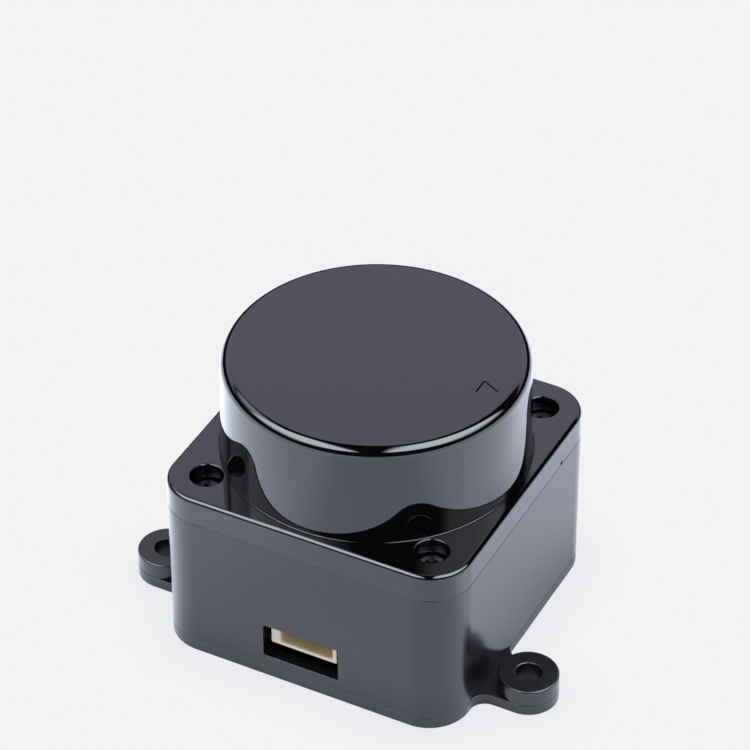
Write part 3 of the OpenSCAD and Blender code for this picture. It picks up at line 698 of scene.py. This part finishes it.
# One outline round the body and its three ears, with bosses, holes and stand-offs. A fine line
# runs round each ear where its boss stands on its tab.
def makePlate(size):
    sideReach, rearReach = earTip.x - size["ear"], earTip.y - size["ear"]
    forward, bend = size["earForward"], body["cornerRadius"]
    flat = half - bend
    arcs = earArcs(size, sideReach, -forward, 0) + [(flat, flat, bend, 0, 90)]
    arcs += earArcs(size, rearReach, 0, 90) + [(-flat, flat, bend, 90, 180)]
    arcs += earArcs(size, sideReach, forward, 180)
    arcs += [(-flat, -flat, bend, 180, 270), (flat, -flat, bend, 270, 360)]
    piece = makeObject("foot_plate", loft(chain(arcs, 20), slabProfile(0, plateTop, size["edge"],
                                                                       size["edge"])))
    ears = [(sideReach, -forward), (-sideReach, -forward), (0, rearReach)]
    line, root = size["line"], size["root"]
    boss = loft(circle(size["ear"] - size["bossInset"]), np.vstack([
        [[line, plateTop - root], [line, plateTop + lap], [0.0, plateTop + lap + line]],
        slabProfile(plateTop, size["bossTop"], 0, size["bossRound"])[1:]]))
    carve(piece, [placed(boss, x, y) for x, y in ears], "UNION")
    standoffs = [(signX * size["standoffAt"][0], signY * size["standoffAt"][1])
                 for signX, signY in corners]
    stand = loft(circle(size["standoff"], steps=48),
                 slabProfile(plateTop - root, size["standoffTop"], 0, size["standoffEdge"]))
    carve(piece, [placed(stand, x, y) for x, y in standoffs], "UNION")
    hole = flaredCutter(size["hole"], -past, size["bossTop"], size["holeRim"])
    cuts = [placed(hole, x, y) for x, y in ears]
    cuts += atCorners(loft(circle(size["screwHole"], steps=48),
                           slabProfile(-past, plateTop + past)))
    cuts += atCorners(loft(circle(size["headHole"], steps=64),
                           slabProfile(-past, size["headDepth"])))
    pilot = loft(circle(size["standoffHole"], steps=32),
                 slabProfile(plateTop, size["standoffTop"] + past))
    cuts += [placed(pilot, x, y) for x, y in standoffs]
    carve(piece, cuts)
    finishPiece(piece, "module_body", "base_plastic", ["base_plate"])


makePlate(plate)


screw = {"thread": 1.0, "pitch": 0.4, "threadDepth": 0.16, "head": 1.75, "headHeight": 1.3,
         "headFoot": 0.05, "headEdge": 0.28, "recess": 0.95, "recessDepth": 0.7, "seat": 19.7,
         "length": 8.0, "turns": (17, 31)}
baseScrew = {**screw, "head": 1.9, "headHeight": 1.0, "recessDepth": 0.5, "length": 6.0}


# r = radius - depth * triangle(z / pitch - angle / 2 pi), fading to nothing at both ends.
def threadedRod(radius, pitch, depth, low, high, around=24, perTurn=8):
    rows = int((high - low) / pitch * perTurn) + 1
    z = np.linspace(low, high, rows)[:, None]
    angle = np.linspace(0, 2 * np.pi, around, endpoint=False)[None]
    phase = (z / pitch - angle / (2 * np.pi)) % 1
    ends = np.clip(np.minimum(z - low, high - z) / pitch, 0, 1)
    r = radius - depth * ends * np.abs(2 * phase - 1)
    points = np.stack([r * np.cos(angle), r * np.sin(angle), z + 0 * angle], 2).reshape(-1, 3)
    row, here = np.arange(rows - 1)[:, None], np.arange(around)[None]
    after = (here + 1) % around
    faces = np.stack([row * around + here, row * around + after, (row + 1) * around + after,
                      (row + 1) * around + here], 2).reshape(-1, 4).tolist()
    faces += [list(range(around))[::-1], list(range((rows - 1) * around, rows * around))]
    return points, faces


# Two crossed slots that narrow downwards, as a screwdriver's bit does.
def crossRecess(reach, depth, top):
    arm = softRectangle(reach, reach * 0.24, 0.08, steps=3)  # about a quarter as wide as long
    slot = loft(arm, [[reach * 0.22, top - depth], [0, top], [-0.05, top + 0.5]])
    return [placed(slot, turn=turn) for turn in (0, 90)]


# Head standing on z = 0 with a rounded edge, then the thread below it; one at each corner, each
# turned its own way. flip turns the whole screw upside down.
def makeScrew(name, size, seat, flip, nodes, slot):
    head = makeObject("head", loft(circle(size["head"], steps=64),
                                   slabProfile(0, size["headHeight"], size["headFoot"],
                                               size["headEdge"])))
    carve(head, crossRecess(size["recess"], size["recessDepth"], size["headHeight"]))
    rod = threadedRod(size["thread"], size["pitch"], size["threadDepth"], -size["length"], -0.01)
    points, faces = gather([takeShape(head), rod])
    points = points * (np.array([1, -1, -1]) if flip else 1) + np.array([0, 0, seat])
    turnX, turnY = size["turns"]
    four = [placed((points, faces), signX * screwAt, signY * screwAt,
                   turn=turnX * signX + turnY * signY) for signX, signY in corners]
    finishPiece(makeObject(name, gather(four)), "module_body", slot, nodes, crease=40)


makeScrew("cover_fixing_screws", screw, screw["seat"], False, ["cover_screws"],
          "black_screw_steel")
makeScrew("base_fixing_screws", baseScrew, baseScrew["headHeight"], True, ["base_screws"],
          "black_screw_steel")


socket = {"halfWidth": 4.3, "wall": 0.65, "keyWall": 1.25, "floor": 0.5, "back": 1.0,
          "length": 5.4, "edge": 0.08, "corner": 0.15, "innerCorner": 0.1, "mouthRim": 0.14,
          "latchHalf": 1.5, "contacts": 4, "pitch": 1.5, "pin": 0.2, "pinRoom": 0.03,
          "pinStraight": 0.4, "pinBend": 0.5, "pinTip": 0.35}


# A box open at the front, thicker on its left, with a latch notch in its roof and a hole for each
# contact. Heights of its profiles run towards the front.
def makeSocket(size):
    low, high = (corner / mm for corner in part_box("connector_body"))
    front, back, floor, roof = -low.y, -high.y, low.z, high.z
    middle, rim, inner = (floor + roof) / 2, size["mouthRim"], size["innerCorner"]
    outer = softRectangle(size["halfWidth"], (roof - floor) / 2, size["corner"], 0, middle, 5)
    block = loft(outer, slabProfile(back, front, size["edge"], size["edge"], 4))
    piece = makeObject("socket_body", towardsFront(block))
    halfCavity = size["halfWidth"] - (size["wall"] + size["keyWall"]) / 2
    cavity = softRectangle(halfCavity, (roof - floor) / 2 - size["floor"], inner,
                           (size["keyWall"] - size["wall"]) / 2, middle, 4)
    mouth = loft(cavity, [[0.04, back + size["back"]], [0, front - 0.25], [-0.1, front - 0.05],
                          [-rim, front], [-rim, front + past]])
    above = 0.2  # takes the notch out through the roof
    latch = softRectangle(size["latchHalf"], (roof - middle) / 2 + above, inner, 0,
                          (roof + middle) / 2 + above, 4)
    notch = loft(latch, slabProfile(front - size["length"] / 3, front + past))
    cuts = [towardsFront(mouth), towardsFront(notch)]
    span = size["pitch"] * (np.arange(size["contacts"]) - (size["contacts"] - 1) / 2)
    hole = size["pin"] + size["pinRoom"]
    through = slabProfile(back - past, back + size["back"] + past)
    cuts += [towardsFront(loft(softRectangle(hole, hole, size["pinRoom"], x, middle, 2), through))
             for x in span]
    carve(piece, cuts)
    finishPiece(piece, "module_body", "ivory_nylon", ["connector_body"])
    return span


# A square wire carried along an L with a round bend; its tip is narrower.
# point = path + across * normal, with x = side.
def makeContacts(size, span):
    low, high = (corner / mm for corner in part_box("connector_pins"))
    middle, foot, bend, back = high.z - size["pin"], low.z, size["pinBend"], high.y - size["pin"]
    angle = np.linspace(0, np.pi / 2, 9)
    y = np.concatenate([[low.y, low.y + size["pinStraight"]],
                        back - bend + bend * np.sin(angle), [back]])
    z = np.concatenate([[middle, middle], middle - bend + bend * np.cos(angle), [foot]])
    lean = np.concatenate([[0, 0], angle, [np.pi / 2]])[:, None]
    thick = (np.concatenate([[size["pinTip"]], np.ones(len(y) - 1)]) * size["pin"])[:, None]
    across, side = np.array([[-1, 1, 1, -1.0]]), np.array([[-1, -1, 1, 1.0]])
    grid = np.stack([side * thick, y[:, None] + across * thick * np.sin(lean),
                     z[:, None] + across * thick * np.cos(lean)], 2)
    rows, here = np.arange(len(y) - 1)[:, None], np.arange(4)[None]
    after = (here + 1) % 4
    faces = np.stack([rows * 4 + here, (rows + 1) * 4 + here, (rows + 1) * 4 + after,
                      rows * 4 + after], 2).reshape(-1, 4).tolist()
    last = len(y) * 4
    faces += [[0, 1, 2, 3], [last - 1, last - 2, last - 3, last - 4]]
    wire = (grid.reshape(-1, 3), faces)
    piece = makeObject("socket_contacts", gather([placed(wire, x) for x in span]))
    finishPiece(piece, "module_body", "gold_contact", ["connector_pins"], crease=50)


makeContacts(socket, makeSocket(socket))


# Spans are in metres on the floor, and in units of u, w or height for the sky
studio = {"floorSize": 6.0, "floorDrop": 0.0001, "backdrop": 0.885,
          "contactShadowTint": (0.84, 0.86, 0.95), "contactReach": 0.007, "contactShadowDepth": 0.8,
          "floorShine": 1.9, "floorShineSide": 0.55, "floorTint": (0.94, 1.0, 1.18),
          "sideSpan": (0.022, 0.042), "rightShade": 0.32, "shadeLeft": (0.006, 0.018),
          "shadeRight": (0.052, 0.04), "shadeNear": (0.024, 0.01), "skyShine": 1.3,
          "skyTint": (0.98, 1.0, 1.24), "panelTint": (0.95, 1.0, 1.1), "fill": 0.7,
          "fillFloor": 0.8, "wallFar": (-0.92, -1.08), "wallAbove": (0.34, 0.48),
          "panelAbove": (0.4, 0.8), "softSide": 0.06, "softFar": 0.08, "softNear": 0.12,
          "flattest": 0.02}
# each overhead panel: sideways range, range towards the camera, and how bright it is
panels = [((-1.7, -0.24), (-0.38, 0.9), 10.5), ((0.1, 2.3), (-0.4, 0.8), 10.5),
          ((-2.2, -0.4), (-0.9, -0.38), 3.5)]
azimuth = math.radians(view["azimuth"])
sideways = (math.cos(azimuth), math.sin(azimuth), 0)
nearer = (math.sin(azimuth), -math.cos(azimuth), 0)


# White paper that glows. Glossy pieces see it brighter off to both sides, with a painted shadow to
# the right of the pieces and a painted contact shadow where a piece stands; the camera sees it even,
# with a painted bluish contact shadow there.
def makeFloor(look):
    edge = look["floorSize"] / 2
    mesh = bpy.data.meshes.new("studioFloor")
    mesh.from_pydata([(-edge, -edge, 0), (edge, -edge, 0), (edge, edge, 0), (-edge, edge, 0)], [],
                     [(0, 1, 2, 3)])
    floor = bpy.data.objects.new("studioFloor", mesh)
    floor.location.z = -look["floorDrop"]
    bpy.context.scene.collection.objects.link(floor)
    material, tree, shader = newMaterial("studioFloor")
    ray = tree.nodes.new("ShaderNodeLightPath")
    place = tree.nodes.new("ShaderNodeTexCoord")
    contact = addNode(tree, "ShaderNodeAmbientOcclusion", Distance=look["contactReach"])
    openness = contact.outputs["AO"]
    rightward = along(tree, place.outputs["Object"], sideways)
    toward = along(tree, place.outputs["Object"], nearer)
    offSide = fade(tree, calculate(tree, "ABSOLUTE", rightward), *look["sideSpan"])
    shine = calculate(tree, "MULTIPLY_ADD", offSide, look["floorShineSide"], look["floorShine"])
    # painted shadow: the floor that glossy pieces reflect is darker to the right of the pieces
    shade = calculate(tree, "MULTIPLY", fade(tree, rightward, *look["shadeLeft"]),
                      fade(tree, rightward, *look["shadeRight"]))
    shade = calculate(tree, "MULTIPLY", shade, fade(tree, toward, *look["shadeNear"]))
    shine = calculate(tree, "MULTIPLY", shine,
                      calculate(tree, "MULTIPLY_ADD", shade, -look["rightShade"], 1.0))
    # painted contact shadow: the floor darkens, for glossy and for diffuse rays, where the ambient
    # occlusion finds a piece close by
    depth = look["contactShadowDepth"]
    lit = calculate(tree, "MULTIPLY", shine,
                    calculate(tree, "MULTIPLY_ADD", openness, depth, 1 - depth))
    fill = calculate(tree, "MULTIPLY", openness, look["fillFloor"])
    shown = choose(tree, ray.outputs["Is Diffuse Ray"], tinted(tree, look["floorTint"], lit),
                   tinted(tree, (1, 1, 1), fill))
    # painted contact shadow: the backdrop seen by the camera takes a bluish tint where a piece
    # stands
    seen = addNode(tree, "ShaderNodeVectorMath", operation="SCALE", Scale=look["backdrop"])
    joinUp(tree, (choose(tree, openness, look["contactShadowTint"], (1, 1, 1)), seen.inputs[0]))
    final = choose(tree, ray.outputs["Is Camera Ray"], shown, seen.outputs["Vector"])
    joinUp(tree, (final, shader.inputs["Emission Color"]))
    shader.inputs["Emission Strength"].default_value = 1.0
    shader.inputs["Base Color"].default_value = (0, 0, 0, 1)
    shader.inputs["Roughness"].default_value = 1.0
    shader.inputs["Specular IOR Level"].default_value = 0.0
    material.cycles.emission_sampling = "NONE"
    mesh.materials.append(material)


# A lit wall behind, a black room on the near side, and bright panels overhead. Directions are
# read as u = sideways / up and w = nearer / up.
def makeSky(look):
    world = bpy.data.worlds.new("studio")
    bpy.context.scene.world = world
    world.use_nodes = True
    tree = world.node_tree
    background = tree.nodes["Background"]
    ray = tree.nodes.new("ShaderNodeLightPath")
    direction = tree.nodes.new("ShaderNodeTexCoord").outputs["Generated"]
    up = along(tree, direction, (0, 0, 1))
    safeUp = calculate(tree, "MAXIMUM", up, look["flattest"])
    u = calculate(tree, "DIVIDE", along(tree, direction, sideways), safeUp)
    w = calculate(tree, "DIVIDE", along(tree, direction, nearer), safeUp)
    wall = calculate(tree, "MULTIPLY", fade(tree, w, *look["wallFar"]),
                     fade(tree, up, *look["wallAbove"]))
    total = tinted(tree, look["skyTint"], calculate(tree, "MULTIPLY", wall, look["skyShine"]))
    softSide, softFar, softNear = look["softSide"], look["softFar"], look["softNear"]
    for (left, right), (far, near), power in panels:
        across = calculate(tree, "MULTIPLY", fade(tree, u, left - softSide, left + softSide),
                           fade(tree, u, right + softSide, right - softSide))
        length = calculate(tree, "MULTIPLY", fade(tree, w, far - softFar, far + softFar),
                           fade(tree, w, near + softNear, near - softNear))
        raised = calculate(tree, "MULTIPLY", fade(tree, up, *look["panelAbove"]), power)
        glow = calculate(tree, "MULTIPLY", calculate(tree, "MULTIPLY", across, length), raised)
        added = addNode(tree, "ShaderNodeVectorMath", operation="ADD")
        joinUp(tree, (total, added.inputs[0]),
               (tinted(tree, look["panelTint"], glow), added.inputs[1]))
        total = added.outputs["Vector"]
    shown = choose(tree, ray.outputs["Is Diffuse Ray"], total, (look["fill"],) * 3)
    final = choose(tree, ray.outputs["Is Camera Ray"], shown, (look["backdrop"],) * 3)
    joinUp(tree, (final, background.inputs["Color"]))
    world.cycles.sampling_method = "NONE"


makeFloor(studio)
makeSky(studio)
bpy.context.scene.view_settings.view_transform = "Standard"
print("studio set")
